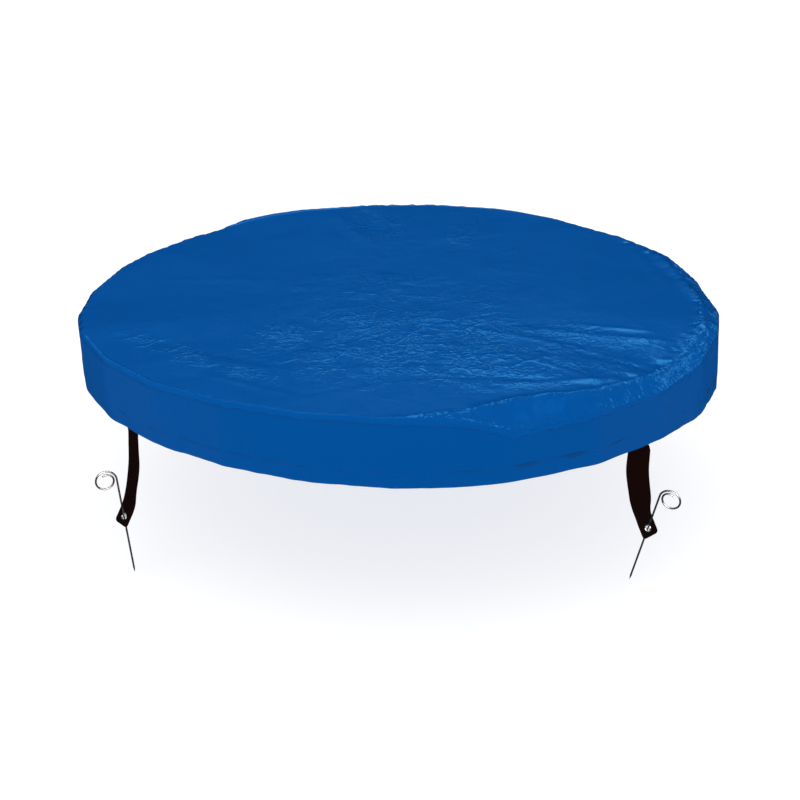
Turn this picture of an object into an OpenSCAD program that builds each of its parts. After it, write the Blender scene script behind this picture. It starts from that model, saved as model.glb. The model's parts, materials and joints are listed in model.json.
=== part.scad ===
// Round pool cover: a top sheet over the pool's rim, a shallow side band with an elastic hem,
// and four webbing straps that are pegged to the ground.
// The origin is the middle of the plane in which the top sheet rests on the rim, with +Z up.
// Strap 1 is at +X, and the straps are numbered counter-clockwise seen from above.

/* [Cover] */
// Width over the corners of the rim
rim_width = 1212; // [900:4:1600]
// Number of flat sides that the pool's wall gives the cover
side_count = 24; // [16:8:32]
// Depth of the side band below the rim
skirt_depth = 120; // [90:5:160]
// Thickness of the coated sheet
sheet_t = 0.5; // [0.4:0.1:0.8]

/* [Rim binding] */
// Height of the tape that binds the seam between top sheet and side band
binding_h = 15; // [10:1:20]

/* [Hem] */
// Height of the hem's casing
casing_h = 22; // [18:1:28]
// Depth of the hem's casing, from the side band inwards
casing_depth = 5; // [4:0.5:8]
// Width of the elastic band in the casing
elastic_w = 12; // [8:1:14]
// Thickness of the elastic band
elastic_t = 1.2; // [0.8:0.1:1.6]

/* [Straps] */
// Width of the webbing
strap_w = 38; // [30:1:50]
// Thickness of the webbing
strap_t = 1.2; // [1:0.1:1.6]
// Lean of the hanging strap from the vertical at its top
lean_top = 6; // [4:0.5:12]
// Lean of the middle of the strap
lean_middle = 14.5; // [12:0.5:20]
// Lean of the strap's end, where the peg goes through
lean_end = 33; // [32:1:38]
// Length of the strap's upper stretch
upper_len = 60; // [40:1:80]
// Length of the strap's middle stretch
middle_len = 69; // [50:1:90]
// Length of the strap's end stretch
end_len = 36; // [32:1:45]
// Radius of the strap end's rounded corners
corner_r = 6; // [3:0.5:10]

/* [Eyelets] */
// Radius of the eyelet's hole
eyelet_bore_r = 4.5; // [4.4:0.1:5]
// Outer radius of the eyelet's rolled flange
eyelet_r = 7.25; // [6.5:0.25:9]
// Height of the rolled flange over the webbing
flange_h = 0.8; // [0.6:0.1:1.2]
// Distance from the eyelet's middle to the strap's end
eyelet_inset = 14; // [11:0.5:18]
// Thickness of the washer on the back
washer_t = 0.4; // [0.3:0.1:0.6]
// Wall of the eyelet's barrel
barrel_t = 0.4; // [0.3:0.1:0.5]

/* [Pegs] */
// Radius of the peg's wire
wire_r = 1.6; // [1.4:0.1:1.75]
// Length of the straight shank, point included
shank_len = 188; // [165:1:220]
// How far the points lie below the eyelets
tip_drop = 112; // [90:1:125]
// Radius of the curl's first half turn
curl_r1 = 17.5; // [15:0.5:22]
// Length of the ground point
point_len = 8; // [5:1:12]

/* [Hidden] */
$fn = 96;
STRAP_COUNT = 4;
strap_ids = [1 : STRAP_COUNT];

// layers at the rim, from outside: side band, binding, top sheet
rim_r = rim_width / 2;
binding_r = rim_r - sheet_t;
panel_r = binding_r - sheet_t;

// layers at the hem, from outside: side band, casing with the elastic in it, sewn strap end
casing_r = rim_r - sheet_t;
casing_inner_r = casing_r - casing_depth;
elastic_r = casing_r - sheet_t;
flat_share = cos(180 / side_count);
hem_face = casing_inner_r * flat_share;
sewn_margin = 2;
sewn_h = casing_h - sewn_margin;

// hinge line of a strap, just under the hem
hinge_gap = 0.4;
hinge_r = hem_face - strap_t / 2;
hinge_z = -skirt_depth - strap_t / 2 - hinge_gap;

// strap's middle line, in the plane of its lean: each point is [outwards, up]
function reach(lean, len) = [len * sin(lean), -len * cos(lean)];
strap_p1 = reach(lean_top, upper_len);
strap_p2 = strap_p1 + reach(lean_middle, middle_len);
strap_p3 = strap_p2 + reach(lean_end, end_len);
eyelet_at = strap_p2 + reach(lean_end, end_len - eyelet_inset);
// which way the strap's front faces, and where its face turns at a bend
function facing(lean) = [cos(lean), sin(lean)];
function mitre(p, lean_a, lean_b, face) =
    p + face / cos((lean_b - lean_a) / 2) * facing((lean_a + lean_b) / 2);

// each peg's own lean away from the pool, and how far it has turned about its shank
peg_leans = [15.5, 10, 12, 4.5];
peg_turns = [22, -15, 10, -22];
// how much tighter the curl's second and third arcs are than the first, and the third one's angle
curl_tighter = [2.5, 6.5];
curl_r2 = curl_r1 - curl_tighter[0];
curl_r3 = curl_r1 - curl_tighter[1];
curl_last_angle = 125;
tip_flat_r = 0.4;

sheet_blue = [0.0, 0.31, 0.61];
lining_blue = [0.0, 0.26, 0.52];
webbing_brown = [0.10, 0.03, 0.02];
steel = [0.75, 0.74, 0.72];

// corners of the cover's outline, with the straps at the middles of flat sides
function outline(r) = [
    for (i = [0 : side_count - 1])
        let (a = (i + 0.5) * 360 / side_count)
        r * [cos(a), sin(a)]
];

// upright band that follows the outline, from z = low upwards
module band(r, t, low, h) {
    translate([0, 0, low])
        linear_extrude(h)
            difference() {
                polygon(outline(r));
                polygon(outline(r - t));
            }
}

// puts its children on strap k, with the strap's hinge line at their origin and +X outwards
module at_strap(k) {
    rotate([0, 0, (k - 1) * 360 / STRAP_COUNT])
        translate([hinge_r, 0, hinge_z])
            children();
}

// puts its children in the eyelet's middle, with +Z along the hole, out of the strap's front
module at_eyelet(k) {
    at_strap(k)
        translate([eyelet_at.x, 0, eyelet_at.y])
            rotate([0, 90 - lean_end, 0])
                children();
}

module top_panel() {
    color(sheet_blue)
        linear_extrude(sheet_t) polygon(outline(panel_r));
}

module skirt() {
    color(sheet_blue)
        band(rim_r, sheet_t, -skirt_depth, skirt_depth + sheet_t);
}

module rim_binding() {
    color(lining_blue)
        band(binding_r, sheet_t, -binding_h, binding_h + sheet_t);
}

// folded channel, open only towards the side band that closes it
module hem_casing() {
    color(lining_blue)
        difference() {
            band(casing_r, casing_depth, -skirt_depth, casing_h);
            band(
                casing_r + sheet_t, casing_depth,
                -skirt_depth + sheet_t, casing_h - 2 * sheet_t
            );
        }
}

module elastic_band() {
    color("white")
        band(elastic_r, elastic_t, -skirt_depth + (casing_h - elastic_w) / 2, elastic_w);
}

// top of the strap, sewn flat on the hem's inner face
module strap_end(k) {
    color(webbing_brown)
        rotate([0, 0, (k - 1) * 360 / STRAP_COUNT])
            translate([hem_face - strap_t, -strap_w / 2, -skirt_depth])
                cube([strap_t, strap_w, sewn_h]);
}

// webbing seen edge on: both faces follow the middle line, with mitred bends
module strap_profile() {
    polygon([
        for (face = [strap_t / 2, -strap_t / 2])
            let (
                line = [
                    face * facing(lean_top),
                    mitre(strap_p1, lean_top, lean_middle, face),
                    mitre(strap_p2, lean_middle, lean_end, face),
                    strap_p3 + face * facing(lean_end)
                ]
            )
            for (i = [0 : 3]) line[face > 0 ? i : 3 - i]
    ]);
}

// what rounding takes off one lower corner of the strap
module corner_cut(side) {
    translate([eyelet_inset - corner_r, side * (strap_w / 2 - corner_r), -strap_w / 2])
        linear_extrude(strap_w)
            difference() {
                translate([0, side > 0 ? 0 : -strap_w]) square(strap_w);
                circle(corner_r);
            }
}

module strap(k) {
    color(webbing_brown)
        difference() {
            at_strap(k)
                rotate([90, 0, 0])
                    linear_extrude(strap_w, center = true) strap_profile();
            at_eyelet(k) {
                corner_cut(-1);
                corner_cut(1);
                translate([0, 0, -strap_w / 2]) cylinder(h = strap_w, r = eyelet_bore_r + barrel_t);
            }
        }
}

// section of a rolled rim: a shallow arch that stands on the hole's edge
module roll_section(height) {
    chord = eyelet_r - eyelet_bore_r;
    arch_r = (pow(chord / 2, 2) + pow(height, 2)) / (2 * height);
    intersection() {
        translate([eyelet_bore_r + chord / 2, height - arch_r]) circle(arch_r);
        translate([eyelet_bore_r, 0]) square([chord, height]);
    }
}

// flange on the front, with its barrel through the webbing
module eyelet(k) {
    barrel_len = strap_t + washer_t;
    color(steel)
        at_eyelet(k)
            rotate_extrude() {
                translate([0, strap_t / 2]) roll_section(flange_h);
                translate([eyelet_bore_r, strap_t / 2 - barrel_len])
                    square([barrel_t, barrel_len]);
            }
}

// flat ring that the barrel is set into on the back
module washer(k) {
    color(steel)
        at_eyelet(k)
            rotate_extrude()
                translate([eyelet_bore_r + barrel_t, -strap_t / 2 - washer_t])
                    square([eyelet_r - eyelet_bore_r - barrel_t, washer_t]);
}

// one arc of the curl: radius r about the point c of the curl's plane, from angle a0 on by turn
module curl_arc(c, r, a0, turn) {
    translate([c, 0, 0])
        rotate([90, 0, 0])
            rotate([0, 0, a0])
                rotate_extrude(angle = turn)
                    translate([r, 0]) circle(wire_r);
}

// the wire's head: three arcs that end face to face, each tighter than the one before
module curl() {
    curl_arc(curl_r1, curl_r1, 0, 180);
    curl_arc(2 * curl_r1 - curl_r2, curl_r2, 180, 180);
    curl_arc(
        2 * curl_r1 - 2 * curl_r2 + curl_r3,
        curl_r3, 180 - curl_last_angle, curl_last_angle
    );
}

// steel wire: a straight pointed shank with a curled head, the curl's plane being XZ
module peg(k) {
    shank_below = tip_drop / cos(peg_leans[k - 1]);
    color(steel)
        at_strap(k)
            translate([eyelet_at.x, 0, eyelet_at.y])
                rotate([0, peg_leans[k - 1], 0])
                    rotate([0, 0, peg_turns[k - 1]])
                        translate([0, 0, -shank_below]) {
                            cylinder(h = point_len, r1 = tip_flat_r, r2 = wire_r);
                            translate([0, 0, point_len])
                                cylinder(h = shank_len - point_len, r = wire_r);
                            translate([0, 0, shank_len]) curl();
                        }
}

top_panel();
skirt();
rim_binding();
hem_casing();
elastic_band();
for (k = strap_ids) {
    strap_end(k);
    strap(k);
    eyelet(k);
    washer(k);
    peg(k);
}
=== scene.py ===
"""Round pool cover: a glossy blue sheet with an elastic hem, four webbing straps and their pegs.

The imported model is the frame. The sheets, the webbing and the thread are made here around it,
and the eyelets, washers and pegs stay as they are, with better materials. Lengths are in metres.
"""

import json
import math

import bmesh
import bpy
import numpy as np
from mathutils import Matrix, Vector
from mathutils.geometry import delaunay_2d_cdt


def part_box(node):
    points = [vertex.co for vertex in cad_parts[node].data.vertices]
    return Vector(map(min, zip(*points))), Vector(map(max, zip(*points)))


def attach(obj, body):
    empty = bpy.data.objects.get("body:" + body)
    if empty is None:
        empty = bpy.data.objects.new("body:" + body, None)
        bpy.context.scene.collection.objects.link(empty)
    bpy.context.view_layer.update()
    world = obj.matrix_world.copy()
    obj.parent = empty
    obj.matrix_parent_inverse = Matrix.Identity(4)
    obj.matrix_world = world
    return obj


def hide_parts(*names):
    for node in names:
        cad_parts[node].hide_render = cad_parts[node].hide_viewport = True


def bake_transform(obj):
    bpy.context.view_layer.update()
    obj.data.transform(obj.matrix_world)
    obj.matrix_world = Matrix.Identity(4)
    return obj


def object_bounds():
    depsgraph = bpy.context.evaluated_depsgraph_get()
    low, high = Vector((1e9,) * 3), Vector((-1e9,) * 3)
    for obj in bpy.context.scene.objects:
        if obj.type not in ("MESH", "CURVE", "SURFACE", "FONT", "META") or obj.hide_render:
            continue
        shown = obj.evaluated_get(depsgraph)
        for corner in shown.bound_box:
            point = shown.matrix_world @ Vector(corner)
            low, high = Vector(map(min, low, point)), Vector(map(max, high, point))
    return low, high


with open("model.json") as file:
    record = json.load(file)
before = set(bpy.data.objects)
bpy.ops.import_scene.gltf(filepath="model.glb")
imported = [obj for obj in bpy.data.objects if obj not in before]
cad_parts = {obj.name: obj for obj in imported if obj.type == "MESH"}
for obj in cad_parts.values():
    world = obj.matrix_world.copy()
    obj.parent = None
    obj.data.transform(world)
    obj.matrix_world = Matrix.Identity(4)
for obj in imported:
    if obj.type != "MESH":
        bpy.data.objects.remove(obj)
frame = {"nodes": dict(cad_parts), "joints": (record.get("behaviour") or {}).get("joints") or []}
cad_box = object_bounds()
MM = 0.001

# ---------------------------------------------------------------- sizes, from the frame
SIDES = 24
STRAPS = range(1, 5)
CORNER_SHARE = math.cos(math.pi / SIDES)
skirt_low, skirt_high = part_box("skirt")
casing_low, casing_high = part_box("hem_casing")
elastic_low, elastic_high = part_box("elastic_band")
binding_low, binding_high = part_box("rim_binding")
RIM_R = skirt_high.x / CORNER_SHARE
HEM_R = casing_high.x / CORNER_SHARE
HEM_Z = skirt_low.z
GROUND_Z = cad_box[0].z
CASING_H = casing_high.z - casing_low.z
# sizes of the part's source that no box shows
SHEET_T = 0.5 * MM
CASING_DEPTH = 5 * MM


# ---------------------------------------------------------------- camera, lights and floor
SKY_BLUE, WHITE = (0.12, 0.60, 0.96), (1, 1, 1)


def make_camera():
    """Stands in front, between strap 4 and strap 1, and looks down on the cover."""
    azimuth, elevation, roll = math.radians(49.2), math.radians(23.74), math.radians(-0.79)
    distance, target_z = 2.6, -0.235
    back = Vector((
        math.sin(azimuth) * math.cos(elevation),
        -math.cos(azimuth) * math.cos(elevation),
        math.sin(elevation),
    ))
    data = bpy.data.cameras.new("camera")
    data.lens = 58.5
    data.clip_start, data.clip_end = 0.05, 100
    camera = bpy.data.objects.new("camera", data)
    camera.rotation_mode = "QUATERNION"
    camera.location = Vector((0, 0, target_z)) + back * distance
    level = (-back).to_track_quat("-Z", "Y")
    camera.rotation_quaternion = level @ Matrix.Rotation(roll, 3, "Z").to_quaternion()
    bpy.context.scene.collection.objects.link(camera)
    bpy.context.scene.camera = camera
    return azimuth


def area_light(name, location, aim, size, power, color=SKY_BLUE, lights_up=False):
    """A softbox. Unless it lights things up, it only shows as a highlight on them."""
    data = bpy.data.lights.new(name, "AREA")
    data.shape = "RECTANGLE"
    data.size, data.size_y = size
    data.energy = power
    data.color = color
    light = bpy.data.objects.new(name, data)
    light.location = location
    light.rotation_euler = (Vector(aim) - Vector(location)).to_track_quat("-Z", "Y").to_euler()
    light.visible_diffuse = lights_up
    bpy.context.scene.collection.objects.link(light)
    return light


def make_studio(azimuth):
    scene = bpy.context.scene
    scene.view_settings.view_transform = "Standard"
    world = bpy.data.worlds.new("studio")
    scene.world = world
    world.use_nodes = True
    sky = world.node_tree.nodes["Background"]
    sky.inputs["Color"].default_value = (1, 1, 1, 1)
    sky.inputs["Strength"].default_value = 1.1
    world.cycles_visibility.glossy = False
    right = Vector((math.cos(azimuth), math.sin(azimuth), 0))
    away = Vector((-math.sin(azimuth), math.cos(azimuth), 0))
    up = Vector((0, 0, 1))
    area_light("key", away * -1.2 + right * -1.0 + up * 2.6, (0, 0, 0), (1.6, 1.6), 8, WHITE, True)
    area_light("back_haze", away * 2.6 + right * 0.2 + up * 1.2, (0.1, -0.1, 0), (1.1, 0.45), 0.25)
    area_light("back_high", away * 2.2 + up * 2.1, (0.1, -0.1, 0), (2.2, 0.9), 28)
    area_light("back_left", away * 1.9 - right * 1.5 + up * 1.5, (0, 0, 0), (0.9, 0.9), 4)
    area_light("back_right", away * 1.7 + right * 1.7 + up * 1.4, (0.2, 0, 0), (0.9, 0.9), 10)
    area_light("right_strip", right * 2.4 + away * 0.4 + up * 0.7, (0.3, 0.3, 0), (0.5, 0.9), 7)
    card = area_light("card", away * -2.4 + right * 0.3 + up * 0.5, (0, 0, -0.2), (2.6, 1.2), 60, WHITE)
    metal_only = bpy.data.collections.new("metal_only")
    for k in STRAPS:
        for kind in ("eyelet", "washer", "peg"):
            metal_only.objects.link(frame["nodes"][f"{kind}_{k}"])
    card.light_linking.receiver_collection = metal_only
    area_light("front_high", away * -0.9 + right * 1.0 + up * 2.0, (0.4, -0.2, 0), (0.7, 0.5), 2)

    bpy.ops.mesh.primitive_plane_add(size=60, location=(0, 0, GROUND_Z))
    floor = bpy.context.object
    floor.name = "floor"
    surface = Shader("floor_white", (0.35, 0.35, 0.35), 0.9)
    surface.set("Specular IOR Level", 0.1)
    surface.set("Emission Color", (1, 1, 1, 1))
    surface.set("Emission Strength", 0.74)
    floor.data.materials.append(surface.material)
    floor.visible_glossy = False


# ---------------------------------------------------------------- materials
class Shader:
    """A Principled material, with short ways to add texture nodes to it."""

    def __init__(self, name, color, roughness):
        self.material = bpy.data.materials.new(name)
        self.material.use_nodes = True
        self.tree = self.material.node_tree
        self.bsdf = self.tree.nodes["Principled BSDF"]
        self.set("Base Color", (*color, 1))
        self.set("Roughness", roughness)

    def set(self, socket, value):
        self.bsdf.inputs[socket].default_value = value

    def node(self, kind, values=None, **settings):
        made = self.tree.nodes.new("ShaderNode" + kind)
        for key, value in settings.items():
            setattr(made, key, value)
        for key, value in (values or {}).items():
            if isinstance(value, bpy.types.NodeSocket):
                self.tree.links.new(value, made.inputs[key])
            else:
                made.inputs[key].default_value = value
        return made

    def place(self, kind="Object"):
        return self.node("TexCoord").outputs[kind]

    def noise(self, where, scale, detail=3, roughness=0.55, **extra):
        values = {"Vector": where, "Scale": scale, "Detail": detail, "Roughness": roughness}
        return self.node("TexNoise", {**values, **extra}).outputs["Fac"]

    def remap(self, value, low, high, to_low, to_high, kind="LINEAR"):
        values = {
            "Value": value, "From Min": low, "From Max": high, "To Min": to_low, "To Max": to_high,
        }
        return self.node("MapRange", values, interpolation_type=kind).outputs["Result"]

    def math(self, operation, a, b=0.0):
        return self.node("Math", {0: a, 1: b}, operation=operation).outputs["Value"]

    def shifted(self, where, amount):
        return self.node("VectorMath", {0: where, 1: (amount, amount, amount)}).outputs["Vector"]

    def warp(self, where, scale, amount):
        """Coordinates pushed about by noise, so that a pattern laid on them isn't regular."""
        drift = self.node("TexNoise", {"Vector": where, "Scale": scale, "Detail": 2}).outputs["Color"]
        centred = self.node("VectorMath", {0: drift, 1: (0.5, 0.5, 0.5)}, operation="SUBTRACT")
        scaled = self.node(
            "VectorMath", {0: centred.outputs["Vector"], "Scale": amount}, operation="SCALE"
        )
        return self.node(
            "VectorMath", {0: where, 1: scaled.outputs["Vector"]}, operation="ADD"
        ).outputs["Vector"]

    def mix_color(self, factor, a, b):
        made = self.node("Mix", data_type="RGBA")
        self.tree.links.new(factor, made.inputs["Factor"])
        made.inputs["A"].default_value = (*a, 1)
        made.inputs["B"].default_value = (*b, 1)
        return made.outputs["Result"]

    def link(self, value, socket):
        self.tree.links.new(value, self.bsdf.inputs[socket])

    def bump(self, height, distance, strength=1.0):
        values = {"Height": height, "Distance": distance, "Strength": strength}
        self.link(self.node("Bump", values).outputs["Normal"], "Normal")


def crease_lines(shader, where, scale, width):
    """Height of thin sharp ridges along the edges of irregular cells."""
    cells = shader.node(
        "TexVoronoi", {"Vector": where, "Scale": scale, "Randomness": 1.0},
        feature="DISTANCE_TO_EDGE",
    ).outputs["Distance"]
    return shader.remap(cells, 0, width, 1, 0)


def film(name, color, dark, roughness, crumple, shine, masked=False):
    """Coated sheet: glossy, with the fine creases of a sheet that was packed folded.

    A masked one is creased only as far as its mesh's "crinkle" values say.
    """
    shader = Shader(name, color, roughness)
    where = shader.place()
    patches = shader.noise(where, 5, 2)
    shader.link(shader.mix_color(patches, color, dark), "Base Color")
    scuffs = shader.noise(where, 38, 4, 0.6)
    shader.link(shader.remap(scuffs, 0.3, 0.7, roughness * 0.8, roughness * 1.3), "Roughness")
    bent = shader.warp(shader.warp(where, 9, 0.03), 45, 0.010)
    gates = [
        shader.remap(
            shader.noise(shader.shifted(where, shift), scale, 2), 0.40, 0.58, 0, 1, "SMOOTHSTEP"
        )
        for shift, scale in ((0.0, 7), (3.1, 13), (7.7, 22))
    ]
    layers = [
        (crease_lines(shader, bent, 22, 0.10), 0.8),
        (crease_lines(shader, shader.shifted(bent, 5.0), 50, 0.14), 0.6),
        (crease_lines(shader, shader.shifted(bent, 9.0), 105, 0.2), 0.4),
    ]
    height = shader.math("MULTIPLY", shader.noise(bent, 130, 3), 0.35)
    for gate, (lines, size) in zip(gates, layers):
        raised = shader.math("MULTIPLY", shader.math("MULTIPLY", lines, size), gate)
        height = shader.math("ADD", height, raised)
    if masked:
        crinkle = shader.node("Attribute", attribute_name="crinkle").outputs["Fac"]
        height = shader.math("MULTIPLY", height, crinkle)
    shader.bump(height, crumple)
    shader.set("Specular IOR Level", shine)
    shader.set("Specular Tint", (0.12, 0.50, 1.0, 1))
    return shader.material


def webbing_material():
    """Flat woven webbing: slanted ribs that meet along the middle of each thread."""
    base, light = (0.0055, 0.0010, 0.0008), (0.012, 0.0038, 0.0030)
    shader = Shader("webbing_weave", base, 0.78)
    place = shader.place("UV")
    ribs = shader.node(
        "TexWave", {"Vector": place, "Scale": 200.0, "Distortion": 1.2, "Detail": 1.0},
        wave_type="BANDS", bands_direction="Y",
    ).outputs["Fac"]
    threads = shader.node(
        "TexWave", {"Vector": place, "Scale": 260.0, "Distortion": 0.8, "Detail": 1.0},
        wave_type="BANDS", bands_direction="X",
    ).outputs["Fac"]
    fibres = shader.noise(place, 2600, 2)
    woven = shader.math("MULTIPLY", ribs, threads)
    height = shader.math("ADD", woven, shader.math("MULTIPLY", fibres, 0.3))
    shader.link(shader.mix_color(height, base, light), "Base Color")
    shader.link(shader.remap(fibres, 0.3, 0.7, 0.68, 0.9), "Roughness")
    shader.bump(height, 0.25 * MM)
    shader.set("Specular IOR Level", 0.08)
    shader.set("Specular Tint", (1.0, 0.55, 0.45, 1))
    return shader.material


def metal(name, color, roughness, tarnish, grain_scale):
    shader = Shader(name, color, roughness)
    where = shader.place()
    stains = shader.noise(where, 55, 4, 0.6)
    shader.link(shader.mix_color(shader.remap(stains, 0.45, 0.75, 0, 1), color, tarnish), "Base Color")
    grain = shader.noise(where, grain_scale, 2)
    shader.link(shader.remap(grain, 0.3, 0.7, roughness * 0.7, roughness * 1.4), "Roughness")
    shader.bump(grain, 0.02 * MM)
    shader.set("Metallic", 1.0)
    return shader.material


def thread_material(name, color):
    """Twisted sewing thread, with painted shade in the grooves of its twist."""
    shader = Shader(name, color, 0.5)
    twist = shader.node(
        "TexWave", {"Vector": shader.place(), "Scale": 900.0, "Distortion": 0.5},
        wave_type="BANDS", bands_direction="DIAGONAL",
    ).outputs["Fac"]
    # painted shade: the grooves of the twist are painted darker, at 0.6 of the thread's colour
    groove_shade = tuple(0.6 * c for c in color)
    shader.link(shader.mix_color(twist, groove_shade, color), "Base Color")
    shader.bump(twist, 0.08 * MM)
    return shader.material


def elastic_material():
    """Woven elastic: ribs across the band."""
    shader = Shader("elastic_ribs", (0.72, 0.72, 0.68), 0.85)
    ribs = shader.node(
        "TexWave", {"Vector": shader.place("UV"), "Scale": 320.0, "Distortion": 0.6},
        wave_type="BANDS", bands_direction="X",
    ).outputs["Fac"]
    shader.link(shader.mix_color(ribs, (0.5, 0.5, 0.47), (0.78, 0.78, 0.74)), "Base Color")
    shader.bump(ribs, 0.3 * MM)
    return shader.material


# ---------------------------------------------------------------- the cover's outline
# (angle in degrees, value in millimetres): +X is strap 1, and angles run counter-clockwise.
# how much higher the rim is than level, where the wall of the pool sinks or is pushed down
TOP_LINE = [
    (-110, 0), (-83, 3), (-66, 6), (-48, 4), (-40, 0), (-31, -9), (-24, -36), (-10, -30),
    (5, -34), (14, -34), (22, -24), (32, -18), (42, -24), (54, -24), (64, -15), (74, -11), (85, -11),
    (98, -7), (112, 2), (145, 3), (168, 6), (175, 2), (182, -9), (200, -11), (215, -13),
    (229, -16), (240, -12), (248, -4),
]
# how far inside the rim the sheet's fold lies, and how high it is: wide at the front right only
SHOULDER_INSET = [
    (-110, 8), (-40, 8), (-31, 20), (-24, 48), (-17, 44), (-10, 26), (0, 20), (10, 20),
    (25, 30), (55, 40), (75, 22), (95, 9), (170, 8),
]
SHOULDER_DROP = [
    (-110, 0), (-35, 0), (-20, -3), (-10, -4), (0, -10), (9, -18), (20, -10), (30, -3),
    (60, -8), (75, -8), (95, -6), (110, 0), (170, 2), (182, -8), (202, -9), (229, -12), (245, -3),
]
# the hem isn't level: the cover was pulled down more on one side than on the other
HEM_RISE = [
    (-130, 0), (-112, 6), (-95, 11), (-70, 12), (-50, 6), (-35, 1), (5, -4), (18, -15), (35, -16),
    (52, -10), (80, -2), (120, 0), (200, 0),
]
# angles at which the sheet is pulled over the joints of the pool's wall
CORNERS = [
    -110, -96, -82, -68, -55, -42, -31, -24, -10, 4, 18, 30, 41, 57, 71, 85, 103, 117,
    131, 145, 161, 174, 188, 201, 210, 225, 238,
]
FILLET = 6 * MM
LAP = 7 * MM
EDGE_STEP = math.radians(0.25)
# the hem has slipped a little to one side of the rim
HEM_SHIFT = np.array([2.0, 2.0]) * MM


def smooth_loop(values, width):
    """Rounds off a closed series of values."""
    kernel = np.hanning(width + 2)
    kernel /= kernel.sum()
    wrapped = np.concatenate([values[-width:], values, values[:width]])
    return np.convolve(wrapped, kernel, "same")[width:-width]


def round_table(points, width=31):
    """Turns a table of (degrees, millimetres) into a function of an angle in radians."""
    angles = np.arange(-math.pi, math.pi, EDGE_STEP)
    degrees, values = zip(*points)
    line = smooth_loop(np.interp(np.degrees(angles), degrees, values, period=360), width)
    return lambda a: np.interp(a, angles, line * MM, period=2 * math.pi)


def smoothstep(t):
    t = np.clip(t, 0, 1)
    return t * t * (3 - 2 * t)


def polygon_line(corner_degrees, radius, width):
    """Radius of a polygon with rounded corners, as a function of the angle."""
    angles = np.arange(-math.pi, math.pi, EDGE_STEP)
    turns = np.sort(np.radians(np.array(corner_degrees) % 360))
    ring = np.concatenate([turns[-1:] - 2 * math.pi, turns, turns[:1] + 2 * math.pi])
    at = np.searchsorted(ring, angles % (2 * math.pi), side="right")
    a, b = ring[at - 1], ring[at]
    middle, half = (a + b) / 2, (b - a) / 2
    line = radius * np.cos(half) / np.cos(angles % (2 * math.pi) - middle)
    line = smooth_loop(line, width)
    return lambda x: np.interp(x, angles, line, period=2 * math.pi)


top_line = round_table(TOP_LINE, 15)
hem_rise = round_table(HEM_RISE)
shoulder_inset = round_table(SHOULDER_INSET)
shoulder_drop = round_table(SHOULDER_DROP)
wall_line = polygon_line(CORNERS, RIM_R + 1 * MM, 15)
hem_line = polygon_line(CORNERS, HEM_R + 3.5 * MM, 27)


# where the wall has been pushed in a little: the angle, the half width there and the depth
PUSH_ANGLE, PUSH_WIDTH, PUSH_DEPTH = 56, 10, 4 * MM


def rim_line(angle):
    """Radius of the rim's outline."""
    off = (np.degrees(angle) - PUSH_ANGLE) / PUSH_WIDTH
    return wall_line(angle) - PUSH_DEPTH * np.exp(-off ** 2)


# ---------------------------------------------------------------- creases of the sheet
def facets(x, y, cell, height, seed):
    """A crumpled surface of flat facets: random heights on random points, joined by triangles."""
    rng = np.random.default_rng(seed)
    reach = RIM_R + cell
    steps = np.arange(-reach, reach + cell, cell)
    gx, gy = np.meshgrid(steps, steps)
    spots = np.stack([gx.ravel(), gy.ravel()], 1) + rng.uniform(-0.42, 0.42, (gx.size, 2)) * cell
    tall = rng.normal(0, height, len(spots))
    _, _, triangles, *_ = delaunay_2d_cdt([Vector(p) for p in spots], [], [], 0, 1e-6)
    found = np.zeros_like(x)
    order = np.argsort(x)
    sorted_x = x[order]
    for triangle in triangles:
        p, q, r = (spots[i] for i in triangle)
        low, high = min(p[0], q[0], r[0]), max(p[0], q[0], r[0])
        near = order[np.searchsorted(sorted_x, low):np.searchsorted(sorted_x, high)]
        ny = y[near]
        near = near[(ny >= min(p[1], q[1], r[1])) & (ny <= max(p[1], q[1], r[1]))]
        det = (q[1] - r[1]) * (p[0] - r[0]) + (r[0] - q[0]) * (p[1] - r[1])
        u = ((q[1] - r[1]) * (x[near] - r[0]) + (r[0] - q[0]) * (y[near] - r[1])) / det
        v = ((r[1] - p[1]) * (x[near] - r[0]) + (p[0] - r[0]) * (y[near] - r[1])) / det
        w = 1 - u - v
        inside = (u >= 0) & (v >= 0) & (w >= 0)
        near = near[inside]
        found[near] = (
            u[inside] * tall[triangle[0]] + v[inside] * tall[triangle[1]] + w[inside] * tall[triangle[2]]
        )
    return found


def ridge(x, y, start, end, width, height):
    """A sharp fold between two points, which fades out at its ends."""
    a, b = np.array(start), np.array(end)
    length = np.linalg.norm(b - a)
    d = (b - a) / length
    along = ((x - a[0]) * d[0] + (y - a[1]) * d[1]) / length
    side = -(x - a[0]) * d[1] + (y - a[1]) * d[0]
    fade = np.clip(np.minimum(along, 1 - along) / 0.3, 0, 1)
    fade = fade * fade * (3 - 2 * fade)
    return height * fade * np.clip(1 - np.abs(side) / width, 0, 1)


def small_ridges(x, y, count, seed):
    """Short sharp creases, most of them in the middle of the sheet and on its right."""
    rng = np.random.default_rng(seed)
    total = np.zeros_like(x)
    for _ in range(count):
        angle = rng.uniform(0, 2 * math.pi)
        middle = np.array([0.14, 0.0]) + 0.5 * math.sqrt(rng.uniform()) * np.array(
            [math.cos(angle), math.sin(angle)]
        )
        turn = rng.normal(0.86, 0.7)
        half = rng.uniform(0.015, 0.07) * np.array([math.cos(turn), math.sin(turn)])
        width = rng.uniform(6, 13) * MM
        tall = rng.uniform(0.3, 1.3) * rng.choice([-1, 1]) * MM
        reach = np.linalg.norm(half) + width
        near = (np.abs(x - middle[0]) < reach) & (np.abs(y - middle[1]) < reach)
        total[near] += ridge(x[near], y[near], middle - half, middle + half, width, tall)
    return total


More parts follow.
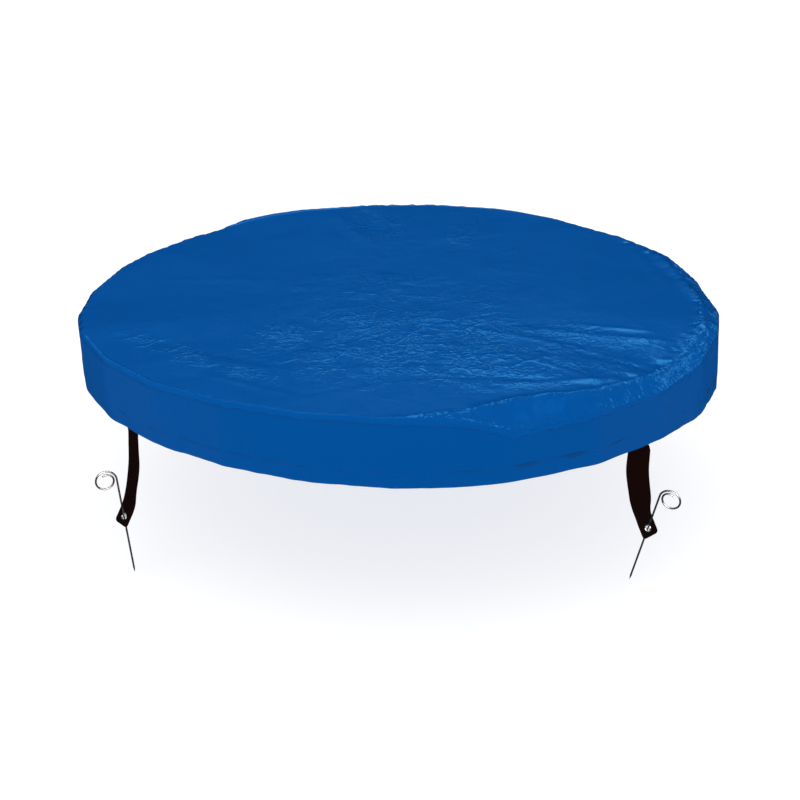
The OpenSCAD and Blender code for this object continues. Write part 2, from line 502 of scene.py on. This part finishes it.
# long folds: (start, end and width in metres, height in millimetres)
LONG_FOLDS = [
    ((0.27, 0.02), (0.52, 0.18), 0.020, 2.4),
    ((0.33, 0.11), (0.48, 0.20), 0.012, 1.8),
    ((0.40, 0.02), (0.60, 0.06), 0.014, -1.8),
    ((0.44, -0.20), (0.59, 0.02), 0.016, 2.4),
    ((0.34, -0.22), (0.54, -0.08), 0.018, -2.0),
    ((0.40, -0.06), (0.56, -0.05), 0.012, 1.6),
    ((0.20, -0.04), (0.42, 0.04), 0.016, 2.0),
    ((-0.55, 0.26), (-0.28, 0.16), 0.030, 3.0),
    ((-0.52, 0.33), (-0.30, 0.22), 0.022, -2.4),
    ((-0.30, 0.50), (-0.08, 0.24), 0.018, 1.8),
    ((-0.12, -0.50), (0.20, -0.38), 0.020, -1.4),
    ((0.05, -0.53), (0.33, -0.44), 0.014, 1.2),
    ((-0.44, -0.34), (-0.20, -0.10), 0.025, 1.5),
    ((0.10, 0.56), (0.34, 0.40), 0.020, 1.6),
]


# how much of a fold's height the pull on the sheet has left
FOLD_LEFT = 0.7


def crumple(x, y):
    """Height of the sheet's folds and facets at each point, seen from above."""
    busy = crinkled(x, y)
    total = facets(x, y, 0.115, 0.8 * MM, 3)
    total += facets(x, y, 0.046, 0.4 * MM, 5) * (0.4 + 0.6 * busy)
    total += facets(x, y, 0.021, 0.3 * MM, 7) * (0.05 + 0.9 * busy)
    for start, end, width, height in LONG_FOLDS:
        total += ridge(x, y, start, end, width, FOLD_LEFT * height * MM)
    return total + small_ridges(x, y, 420, 11) * (0.1 + 0.6 * busy)


# where the sheet is finely crinkled: (middle, half sizes, turn in degrees, amount)
CRINKLED = [
    ((0.23, -0.14), (0.34, 0.21), 30, 0.9), ((0.33, 0.06), (0.20, 0.06), 28, 0.7),
    ((-0.02, 0.02), (0.30, 0.12), 40, 0.5),
    ((-0.38, 0.26), (0.16, 0.08), -28, 0.7), ((-0.20, 0.36), (0.16, 0.04), -52, 0.6),
    ((0.02, -0.48), (0.20, 0.04), 12, 0.7), ((0.10, 0.06), (0.12, 0.08), 30, 0.5),
]


def crinkled(x, y):
    """How finely crinkled the sheet is: 0 where it is smooth and 1 at most."""
    total = np.full_like(x, 0.12)
    for (cx, cy), (long, short), turn, amount in CRINKLED:
        c, s = math.cos(math.radians(turn)), math.sin(math.radians(turn))
        u, v = (x - cx) * c + (y - cy) * s, (y - cy) * c - (x - cx) * s
        total = np.maximum(total, amount * np.exp(-((u / long) ** 2 + (v / short) ** 2) ** 1.5))
    angle, radius = np.arctan2(y, x), np.hypot(x, y)
    inset = rim_line(angle) - radius
    reach = shoulder_inset(angle)
    total *= 1 - smoothstep((reach - 0.012) / 0.02) * smoothstep((reach - inset) / 0.012)
    front_right = smoothstep((np.degrees(angle) + 50) / 14) * smoothstep((68 - np.degrees(angle)) / 8)
    along_fold = np.exp(-((inset - reach) / 0.010) ** 2)
    along_rim = np.exp(-((inset - 0.005) / 0.007) ** 2)
    wide = smoothstep((np.degrees(angle) - 12) / 10) * smoothstep(1.3 - inset / np.maximum(reach, 0.01))
    edges = np.maximum(np.maximum(along_fold, along_rim), wide)
    return np.clip(np.maximum(total, front_right * edges), 0, 1)


# ---------------------------------------------------------------- sheets
def new_piece(name, points, faces, material):
    mesh = bpy.data.meshes.new(name)
    mesh.from_pydata([tuple(p) for p in points], [], faces)
    mesh.materials.append(material)
    mesh.shade_smooth()
    mesh.update()
    piece = bpy.data.objects.new(name, mesh)
    bpy.context.scene.collection.objects.link(piece)
    return piece


def thicken(piece, thickness, offset):
    """Gives a sheet its real thickness, as a closed mesh."""
    solid = piece.modifiers.new("thickness", "SOLIDIFY")
    solid.thickness, solid.offset = thickness, offset
    solid.use_even_offset = False
    apply_modifiers(piece)
    piece.data.shade_smooth()


def apply_modifiers(piece):
    graph = bpy.context.evaluated_depsgraph_get()
    made = bpy.data.meshes.new_from_object(piece.evaluated_get(graph))
    old = piece.data
    piece.modifiers.clear()
    piece.data = made
    bpy.data.meshes.remove(old)


def ring_faces(rows, count, first=0):
    """Quads between closed rings that are stored one after another, from the top ring down."""
    faces = []
    for i in range(rows - 1):
        upper, lower = first + i * count, first + (i + 1) * count
        for j in range(count):
            k = (j + 1) % count
            faces.append((upper + k, upper + j, lower + j, lower + k))
    return faces


def rim_puckers(angle, seed, size, pitches):
    """Small uneven ripples along a seam, as a function of the angle."""
    rng = np.random.default_rng(seed)
    total = np.zeros_like(angle)
    for pitch in pitches:
        count = round(2 * math.pi * RIM_R / pitch)
        shift, gate = rng.uniform(0, 2 * math.pi, 2)
        swell = 0.5 + 0.5 * np.sin(angle * rng.integers(3, 9) + gate)
        total += swell * np.sin(count * angle + shift) * size * (pitch / pitches[0])
    return total


RINGS = 130
# where the layers lie at the rim, outwards from its line
PANEL_AT, LAP_AT, BAND_AT, THREAD_AT, TAPE_AT = (
    shift * MM for shift in (-0.3, 0.25, -0.6, 0.35, -2.2)
)


def ring_insets():
    """Distance of each ring of points from the rim: close together at the fillet, then even."""
    even = RIM_R / RINGS
    for _ in range(30):
        steps = np.minimum(0.5 * MM * 1.3 ** np.arange(RINGS), even)
        even += (RIM_R - steps.sum()) / RINGS
    return np.concatenate([[0], np.cumsum(steps)])


def top_height(angle, inset, x, y):
    """Height of the top sheet, inset being the distance inwards from its outer edge."""
    edge, reach, drop = top_line(angle), shoulder_inset(angle), shoulder_drop(angle)
    rounding = np.clip(inset / FILLET, 0, 1)
    fillet = FILLET * (1 - np.sqrt(np.maximum(1 - (1 - rounding) ** 2, 0)))
    slope = np.clip((inset - FILLET * 0.5) / np.maximum(reach - FILLET * 0.5, FILLET), 0, 1)
    slope = 0.7 * slope + 0.3 * smoothstep(slope)
    share = np.hypot(x, y) / (rim_line(angle) - reach)
    inner = drop * np.clip(share, 0, 1) ** 3
    sag = 13 * MM * (1 - np.clip(share, 0, 1) ** 2)
    behind = smoothstep((inset - reach) / 0.025) * smoothstep((reach - 0.012) / 0.02)
    flat = inner - sag - 3 * MM * behind * np.clip(share, 0, 1) ** 4
    height = edge + (np.where(inset < reach, drop, flat) - edge) * slope
    ragged = 0.6 + 0.5 * np.sin(31 * angle) * np.sin(53 * angle + 1) + 0.3 * np.sin(97 * angle)
    bead = 1.5 * MM * np.exp(-((inset - reach) / 0.006) ** 2) * smoothstep((reach - 0.012) / 0.02)
    return height - fillet + ragged * bead


def make_top_sheet(material):
    """The top sheet: it sags inside the rim, is creased all over and is lapped over the side band."""
    n = RINGS
    a, b = np.meshgrid(np.arange(-n, n + 1) / n, np.arange(-n, n + 1) / n)
    a, b = a.ravel(), b.ravel()
    ring = np.round(n * np.maximum(np.abs(a), np.abs(b))).astype(int)
    share = 1 - ring_insets()[n - ring] / RIM_R
    with np.errstate(divide="ignore", invalid="ignore"):
        across = np.where(np.abs(a) >= np.abs(b), b / a, a / b)
    across = np.nan_to_num(across) * math.pi / 4
    angle = np.where(
        np.abs(a) >= np.abs(b),
        np.where(a >= 0, across, across + math.pi),
        np.where(b >= 0, math.pi / 2 - across, -math.pi / 2 - across),
    )
    edge = rim_line(angle)
    radius = share * (edge + PANEL_AT)
    x, y = radius * np.cos(angle), radius * np.sin(angle)
    folds = crumple(x, y)
    inset = edge - radius
    calm = smoothstep(inset / 0.05) * 0.85 + 0.15
    band = smoothstep((shoulder_inset(angle) - 0.012) / 0.01) * smoothstep(1.4 - inset / 0.05)
    crinkle = facets(x, y, 0.013, 0.8 * MM, 21) + facets(x, y, 0.03, 1.4 * MM, 22)
    z = top_height(angle, inset, x, y) + folds * calm + crinkle * band * smoothstep(inset / 0.012)
    z = z + rim_puckers(angle, 2, 0.5 * MM, (0.024, 0.041, 0.017)) * smoothstep(1 - inset / 0.02)
    side = 2 * n + 1
    index = np.arange(side * side).reshape(side, side)
    faces = np.stack(
        [index[:-1, :-1], index[:-1, 1:], index[1:, 1:], index[1:, :-1]], -1
    ).reshape(-1, 4).tolist()
    points = np.stack([x, y, z], 1)

    border = np.concatenate([index[0, :-1], index[:-1, -1], index[-1, :0:-1], index[:0:-1, 0]])
    turn = angle[border]
    rows = 5
    lap = [
        np.stack([
            (rim_line(turn) + LAP_AT) * np.cos(turn),
            (rim_line(turn) + LAP_AT) * np.sin(turn),
            points[border, 2] - LAP * i / rows,
        ], 1)
        for i in range(1, rows + 1)
    ]
    first = len(points)
    points = np.concatenate([points, *lap])
    count = len(border)
    ring = [border, *(first + i * count + np.arange(count) for i in range(rows))]
    for upper, lower in zip(ring, ring[1:]):
        faces += [
            (int(upper[(j + 1) % count]), int(upper[j]), int(lower[j]), int(lower[(j + 1) % count]))
            for j in range(count)
        ]
    piece = new_piece("top_sheet", points, faces, material)
    crinkle = piece.data.attributes.new("crinkle", "FLOAT", "POINT")
    crinkle.data.foreach_set("value", crinkled(points[:, 0], points[:, 1]))
    thicken(piece, SHEET_T, -1)
    return piece


def hem_place(angle, inset, z):
    """A point on the hem's outline, inset being the distance inwards."""
    radius = hem_line(angle) - inset
    return np.stack([
        radius * np.cos(angle) + HEM_SHIFT[0], radius * np.sin(angle) + HEM_SHIFT[1],
        z + hem_rise(angle),
    ], -1)


BAND_STEPS, ELASTIC_STEPS = 1080, 720
# how far the side band bulges outwards at half its height
BULGE = 1.5 * MM


def band_top(angle):
    """Height of the side band's upper edge, which lies under the rim's rounding."""
    return top_line(angle) - FILLET * 0.6


def make_side_band(material):
    """The side band: it hangs from the rim, and its lower edge turns in at the hem."""
    angle = np.arange(BAND_STEPS) / BAND_STEPS * 2 * math.pi
    top = band_top(angle)
    rim = np.stack([np.cos(angle), np.sin(angle)], 1) * (rim_line(angle) + BAND_AT)[:, None]
    hem = hem_place(angle, 0, angle * 0)[:, :2]
    outward = np.stack([np.cos(angle), np.sin(angle)], 1)
    rng = np.random.default_rng(31)
    rows = 34
    gather = rim_puckers(angle, 8, 0.55 * MM, (0.055, 0.031, 0.09))
    drift = rng.uniform(0, 6, 3)
    rings = []
    for v in np.linspace(0, 1, rows):
        low = HEM_Z + hem_rise(angle) + 1.2 * MM
        z = top + (low - top) * v
        bulge = BULGE * math.sin(math.pi * v)
        sway = 0.5 * MM * np.sin(7 * angle + drift[0] + 2.4 * v) * math.sin(math.pi * v)
        wave = gather * v ** 1.5 + sway
        plan = rim + (hem - rim) * v + outward * (bulge + wave)[:, None]
        rings.append(np.column_stack([plan, z]))
    turn_r = 1.2 * MM
    last = rings[-1]
    for step in range(1, 5):
        bend = math.pi / 4 * step
        inwards = turn_r * (1 - math.cos(bend))
        plan = last[:, :2] - outward * inwards
        rings.append(np.column_stack([plan, last[:, 2] - turn_r * math.sin(bend)]))
    piece = new_piece(
        "side_band", np.concatenate(rings), ring_faces(len(rings), BAND_STEPS), material
    )
    thicken(piece, SHEET_T, -1)
    return piece


# height of the casing's sewn flange, and how far its folds are rounded, in millimetres
FLANGE_H, FOLD_R = 7 * MM, 1.6


def make_hem_casing(material):
    """The casing inside the hem: a folded channel, gathered by the elastic."""
    angle = np.arange(BAND_STEPS) / BAND_STEPS * 2 * math.pi
    gather = rim_puckers(angle, 15, 0.9 * MM, (0.021, 0.034, 0.014))
    low, high = casing_low.z + 1.4 * MM, casing_high.z
    depth, height = CASING_DEPTH / MM, high - low
    quarter = [math.pi / 2 * i / 8 for i in range(9)]
    # the section's points: (inset in millimetres, height in metres)
    section = [(0.9, high + FLANGE_H), (0.95, high + FLANGE_H / 2), (1.0, high), (FOLD_R, high)]
    section += [
        (depth - FOLD_R + FOLD_R * math.sin(t), high - FOLD_R * MM + FOLD_R * MM * math.cos(t))
        for t in quarter
    ]
    section += [(depth + 0.5 * math.sin(math.pi * t), high - height * t) for t in (0.25, 0.5, 0.75)]
    section += [
        (depth - FOLD_R + FOLD_R * math.cos(t), low + FOLD_R * MM - FOLD_R * MM * math.sin(t))
        for t in quarter
    ]
    section.append((1.8, low - 0.2 * MM))
    rings = []
    for inset, z in section:
        free = smoothstep(np.array((inset - 1.5) / 3.0))
        rings.append(hem_place(angle, inset * MM + gather * free, np.full_like(angle, z)))
    piece = new_piece(
        "hem_channel", np.concatenate(rings), ring_faces(len(rings), BAND_STEPS), material
    )
    thicken(piece, SHEET_T, 1)
    return piece


def make_elastic(material):
    """The elastic band in the casing."""
    angle = np.arange(ELASTIC_STEPS) / ELASTIC_STEPS * 2 * math.pi
    wave = 0.35 * MM * np.sin(170 * angle)
    rows = np.linspace(elastic_low.z, elastic_high.z, 9)
    rings = [hem_place(angle, 2.6 * MM + wave, np.full_like(angle, z)) for z in rows]
    faces = ring_faces(len(rings), ELASTIC_STEPS)
    piece = new_piece("elastic_web", np.concatenate(rings), faces, material)
    lay_uv(piece, lambda p: (math.atan2(p.y, p.x) * HEM_R, p.z))
    thicken(piece, 1.0 * MM, 0)
    return piece


def make_binding(material):
    """The tape round the seam allowances, inside under the rim."""
    angle = np.arange(BAND_STEPS) / BAND_STEPS * 2 * math.pi
    ripple = rim_puckers(angle, 25, 0.5 * MM, (0.019, 0.033, 0.05))
    depth = binding_high.z - binding_low.z
    rings = []
    for v in np.linspace(0, 1, 8):
        radius = rim_line(angle) + TAPE_AT - 1.2 * MM * v + ripple * v
        z = top_line(angle) - FILLET - 1.0 * MM - (depth - 3 * MM) * v + 0.6 * ripple * v
        rings.append(np.stack([radius * np.cos(angle), radius * np.sin(angle), z], 1))
    piece = new_piece("rim_tape", np.concatenate(rings), ring_faces(len(rings), BAND_STEPS), material)
    thicken(piece, 1.0 * MM, 0)
    return piece


def lay_uv(piece, place):
    """Gives each corner of each face a place in metres on the woven pattern."""
    layer = piece.data.uv_layers.new(name="weave")
    points = piece.data.vertices
    for loop in piece.data.loops:
        layer.data[loop.index].uv = place(points[loop.vertex_index].co)


# ---------------------------------------------------------------- thread
def stitches(name, middles, along, outward, length, radius, material):
    """Raised stitches of thread: one short rounded bead at each place."""
    sides, shares = 5, ((-0.5, 0.25, -0.4), (-0.3, 0.9, 0.3), (0.3, 0.9, 0.3), (0.5, 0.25, -0.4))
    across = np.cross(outward, along)
    rings = []
    for t, size, lift in shares:
        for i in range(sides):
            turn = 2 * math.pi * i / sides
            rings.append(
                middles + along * (t * length)
                + outward * (radius * (lift + size * math.sin(turn)))
                + across * (radius * size * math.cos(turn))
            )
    points = np.stack(rings, 1).reshape(-1, 3)
    per = sides * len(shares)
    one = []
    for r in range(len(shares) - 1):
        for i in range(sides):
            k = (i + 1) % sides
            one.append((r * sides + i, r * sides + k, (r + 1) * sides + k, (r + 1) * sides + i))
    caps = [tuple(range(sides))[::-1], tuple(range(per - sides, per))]
    faces = [
        tuple(first + v for v in face)
        for first in range(0, len(middles) * per, per) for face in one + caps
    ]
    return new_piece(name, points, faces, material)


def seam_thread(name, place, pitch, outward_sign, material):
    """A row of stitches right round the cover, place being a function of the angle."""
    count = round(2 * math.pi * RIM_R / pitch)
    angle = np.arange(count) / count * 2 * math.pi
    middles = place(angle)
    along = place(angle + 0.002) - place(angle - 0.002)
    along /= np.linalg.norm(along, axis=1, keepdims=True)
    outward = np.stack([np.cos(angle), np.sin(angle), angle * 0], 1) * outward_sign
    return stitches(name, middles, along, outward, pitch * 0.72, 0.38 * MM, material)


def band_place(angle, v_height, lift):
    """A point on the side band's outer face at a height above the hem."""
    top, low = band_top(angle), HEM_Z + hem_rise(angle)
    v = (top - low - v_height) / (top - low)
    rim = rim_line(angle) + BAND_AT
    rim_plan = np.stack([np.cos(angle), np.sin(angle)], 1) * rim[:, None]
    hem_plan = hem_place(angle, 0, angle * 0)[:, :2]
    plan = rim_plan + (hem_plan - rim_plan) * v[:, None]
    outward = np.stack([np.cos(angle), np.sin(angle)], 1)
    plan = plan + outward * (lift + BULGE * np.sin(math.pi * v))[:, None]
    return np.column_stack([plan, low + v_height])


# ---------------------------------------------------------------- straps
STRAP_W, STRAP_T = 38 * MM, 1.2 * MM
LEANS = [math.radians(a) for a in (6, 14.5, 33)]
STRETCHES = (60 * MM, 69 * MM, 36 * MM)
EYELET_INSET = 14 * MM
HOLE_R = 5.2 * MM
CORNER_R = 6 * MM
# how far the loose stretch of each strap has twisted, in degrees
TWISTS = [30, -12, 14, 6]
# the length at a strap's end that the eyelet keeps flat, and the columns of points across a strap
FLAT_END, COLUMNS = 45 * MM, 25


def rounded_path(corners, tangents, step):
    """Points along a plane path whose corners are rounded by arcs."""
    corners = [np.array(c, float) for c in corners]
    points = [corners[0]]
    for a, b, c, reach in zip(corners, corners[1:], corners[2:], tangents):
        before, after = (a - b) / np.linalg.norm(a - b), (c - b) / np.linalg.norm(c - b)
        start, end = b + before * reach, b + after * reach
        for i in range(9):
            t = i / 8
            points.append((1 - t) ** 2 * start + 2 * t * (1 - t) * b + t * t * end)
    points.append(corners[-1])
    points = np.array(points)
    run = np.concatenate([[0], np.cumsum(np.linalg.norm(np.diff(points, axis=0), axis=1))])
    at = np.linspace(0, run[-1], max(2, round(run[-1] / step) + 1))
    return np.stack([np.interp(at, run, points[:, 0]), np.interp(at, run, points[:, 1])], 1), run[-1]


def strap_frame(k):
    turn = math.radians(90 * (k - 1))
    return Vector((math.cos(turn), math.sin(turn), 0)), Vector((-math.sin(turn), math.cos(turn), 0))


def hinge_of(k):
    joint = next(j for j in frame["joints"] if j["name"] == f"strap_{k}_swing")
    return Vector(joint["pos_m"])


def sewn_at(k):
    """How far out the sewn end of a strap lies, and how much higher than level the hem is there."""
    face = hem_place(np.array([math.radians(90 * (k - 1))]), CASING_DEPTH + 1.3 * MM, np.zeros(1))[0]
    return Vector(face).dot(strap_frame(k)[0]), float(face[2])


def make_strap(k, material):
    """One length of webbing, from its sewn end in the hem down to the eyelet."""
    outward, across = strap_frame(k)
    hinge = hinge_of(k)
    sewn, rise = sewn_at(k)
    knots = [(sewn, casing_high.z - 1.5 * MM + rise), (sewn, hinge.z - 2 * MM)]
    reach = [hinge.dot(outward), hinge.z]
    for lean, length in zip(LEANS, STRETCHES):
        reach = [reach[0] + length * math.sin(lean), reach[1] - length * math.cos(lean)]
        knots.append(tuple(reach))
    path, length = rounded_path(knots, (9 * MM, 22 * MM, 15 * MM), 1.5 * MM)
    tangent = np.gradient(path, axis=0)
    tangent /= np.linalg.norm(tangent, axis=1, keepdims=True)
    rng = np.random.default_rng(40 + k)
    waves = rng.uniform(0, 6, 3)
    points, uvs = [], []
    for i, (p, t) in enumerate(zip(path, tangent)):
        run = length * i / (len(path) - 1)
        left = length - run
        trim = 0 if left >= CORNER_R else CORNER_R - math.sqrt(CORNER_R ** 2 - (CORNER_R - left) ** 2)
        half = STRAP_W / 2 - trim
        loose = 0
        if left > FLAT_END:
            loose = math.sin(math.pi * run / (length - FLAT_END)) ** 2
        free = min(1, max(0, (run - 17 * MM) / (15 * MM)))
        free *= min(1, max(0, (left - 34 * MM) / (40 * MM)))
        turn = math.radians(TWISTS[k - 1]) * free * free * (3 - 2 * free)
        for j in range(COLUMNS):
            u = 2 * j / (COLUMNS - 1) - 1
            side = half * u + 0.35 * MM * math.sin(90 * run + waves[0]) * abs(u) ** 3
            bow = 0.9 * MM * (u * u - 0.4) * math.sin(16 * run + waves[1])
            tilt = 1.2 * MM * u * math.sin(20 * run + waves[2])
            cup = loose * (bow + tilt)
            spot = outward * (p[0] - t[1] * cup + side * math.sin(turn)) + across * side * math.cos(turn)
            spot.z = p[1] + t[0] * cup
            points.append(spot)
            uvs.append((half * u, run))
    rows = len(path)
    faces = [
        (i * COLUMNS + j, i * COLUMNS + j + 1, (i + 1) * COLUMNS + j + 1, (i + 1) * COLUMNS + j)
        for i in range(rows - 1) for j in range(COLUMNS - 1)
    ]
    piece = new_piece(f"webbing_strap_{k}", points, faces, material)
    layer = piece.data.uv_layers.new(name="weave")
    for loop in piece.data.loops:
        layer.data[loop.index].uv = uvs[loop.vertex_index]
    punch_hole(piece, k)
    thicken(piece, STRAP_T, 0)
    return piece, length


def eyelet_middle(k):
    outward, _ = strap_frame(k)
    spot = hinge_of(k)
    for lean, length in zip(LEANS, (STRETCHES[0], STRETCHES[1], STRETCHES[2] - EYELET_INSET)):
        spot = spot + outward * (length * math.sin(lean)) - Vector((0, 0, length * math.cos(lean)))
    return spot


def punch_hole(piece, k):
    """Opens the webbing where the eyelet's barrel goes through."""
    spot = eyelet_middle(k)
    mesh = bmesh.new()
    mesh.from_mesh(piece.data)
    inside = [f for f in mesh.faces if (f.calc_center_median() - spot).length < HOLE_R]
    bmesh.ops.delete(mesh, geom=inside, context="FACES")
    for v in mesh.verts:
        away = v.co - spot
        if v.is_boundary and away.length < 1.5 * HOLE_R:
            v.co = spot + away.normalized() * HOLE_R
    mesh.to_mesh(piece.data)
    mesh.free()


def strap_thread(k, material):
    """The box and cross of stitches that holds the strap's end to the casing."""
    outward, across = strap_frame(k)
    sewn, rise = sewn_at(k)
    strap_face = sewn - STRAP_T / 2
    high, low = casing_high.z - 4 * MM + rise, casing_low.z + 3.5 * MM + rise
    half = STRAP_W / 2 - 3.5 * MM
    corners = [(-half, low), (half, low), (half, high), (-half, high)]
    lines = list(zip(corners, corners[1:] + corners[:1]))
    lines += [(corners[0], corners[2]), (corners[1], corners[3])]
    middles, along = [], []
    for a, b in lines:
        run = math.dist(a, b)
        count = max(2, round(run / (3.2 * MM)))
        d = across * ((b[0] - a[0]) / run) + Vector((0, 0, (b[1] - a[1]) / run))
        for i in range(count):
            t = (i + 0.5) / count
            side, z = a[0] + (b[0] - a[0]) * t, a[1] + (b[1] - a[1]) * t
            middles.append(outward * strap_face + across * side + Vector((0, 0, z)))
            along.append(d)
    inwards = np.tile(np.array(-outward), (len(middles), 1))
    return stitches(
        f"strap_thread_{k}", np.array(middles), np.array(along), inwards, 2.4 * MM, 0.36 * MM, material
    )


# ---------------------------------------------------------------- the whole
azimuth = make_camera()
make_studio(azimuth)

# The top sheet is the same film as the side band. Its blues are painted lighter than the band's: painted
# light that makes up for the diffuse light its glossier finish gives up.
TOP_BLUE_PAINTED_LIGHTER, TOP_DEEP_PAINTED_LIGHTER = (0.0005, 0.080, 0.33), (0.0005, 0.076, 0.315)
BAND_BLUE, BAND_DEEP = (0.0006, 0.072, 0.295), (0.0006, 0.068, 0.28)
# The casing and the rim tape inside the cover are the same film in a darker, less glossy copy. The
# darkness is painted shade.
INSIDE_BLUE_PAINTED_SHADE, INSIDE_DEEP_PAINTED_SHADE = (0.001, 0.062, 0.255), (0.001, 0.054, 0.225)
sheet_film = film("blue_film", TOP_BLUE_PAINTED_LIGHTER, TOP_DEEP_PAINTED_LIGHTER, 0.15, 1.15 * MM, 0.28, masked=True)
band_film = film("blue_film_taut", BAND_BLUE, BAND_DEEP, 0.35, 0.12 * MM, 0.03)
shaded_inside_film = film("shaded_inside_film", INSIDE_BLUE_PAINTED_SHADE, INSIDE_DEEP_PAINTED_SHADE, 0.34, 0.3 * MM, 0.15)
weave = webbing_material()
blue_thread = thread_material("blue_thread", (0.001, 0.088, 0.355))
brown_thread = thread_material("brown_thread", (0.03, 0.012, 0.009))
rolled_metal = metal("nickel_plate", (0.88, 0.85, 0.80), 0.26, (0.45, 0.40, 0.35), 700)
peg_steel = metal("drawn_wire", (0.78, 0.73, 0.68), 0.30, (0.42, 0.30, 0.23), 420)

top_sheet = make_top_sheet(sheet_film)
side_band = make_side_band(band_film)
hem_channel = make_hem_casing(shaded_inside_film)
elastic_web = make_elastic(elastic_material())
rim_tape = make_binding(shaded_inside_film)
threads = [
    seam_thread(
        "rim_thread",
        lambda a: np.stack([
            (rim_line(a) + THREAD_AT) * np.cos(a), (rim_line(a) + THREAD_AT) * np.sin(a),
            top_line(a) - FILLET - LAP + 2.5 * MM,
        ], 1),
        4.4 * MM, 1, blue_thread,
    ),
    seam_thread(
        "hem_thread",
        lambda a: band_place(a, CASING_H + FLANGE_H * 0.6, 0.15 * MM), 4.6 * MM, 1, blue_thread,
    ),
]
for piece, node, slot in (
    (top_sheet, "top_panel", "blue_sheet"), (side_band, "skirt", "blue_sheet"),
    (hem_channel, "hem_casing", "lining_sheet"), (elastic_web, "elastic_band", "elastic"),
    (rim_tape, "rim_binding", "lining_sheet"),
):
    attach(piece, "cover")
    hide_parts(node)
for piece in threads:
    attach(piece, "cover")

for k in STRAPS:
    strap, strap_length = make_strap(k, weave)
    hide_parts(f"strap_end_{k}", f"strap_{k}")
    hinge = hinge_of(k)
    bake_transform(strap)
    sewing = strap_thread(k, brown_thread)
    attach(sewing, "cover")
    for kind, material in (("eyelet", rolled_metal), ("washer", rolled_metal), ("peg", peg_steel)):
        node = frame["nodes"][f"{kind}_{k}"]
        node.data.materials.clear()
        node.data.materials.append(material)
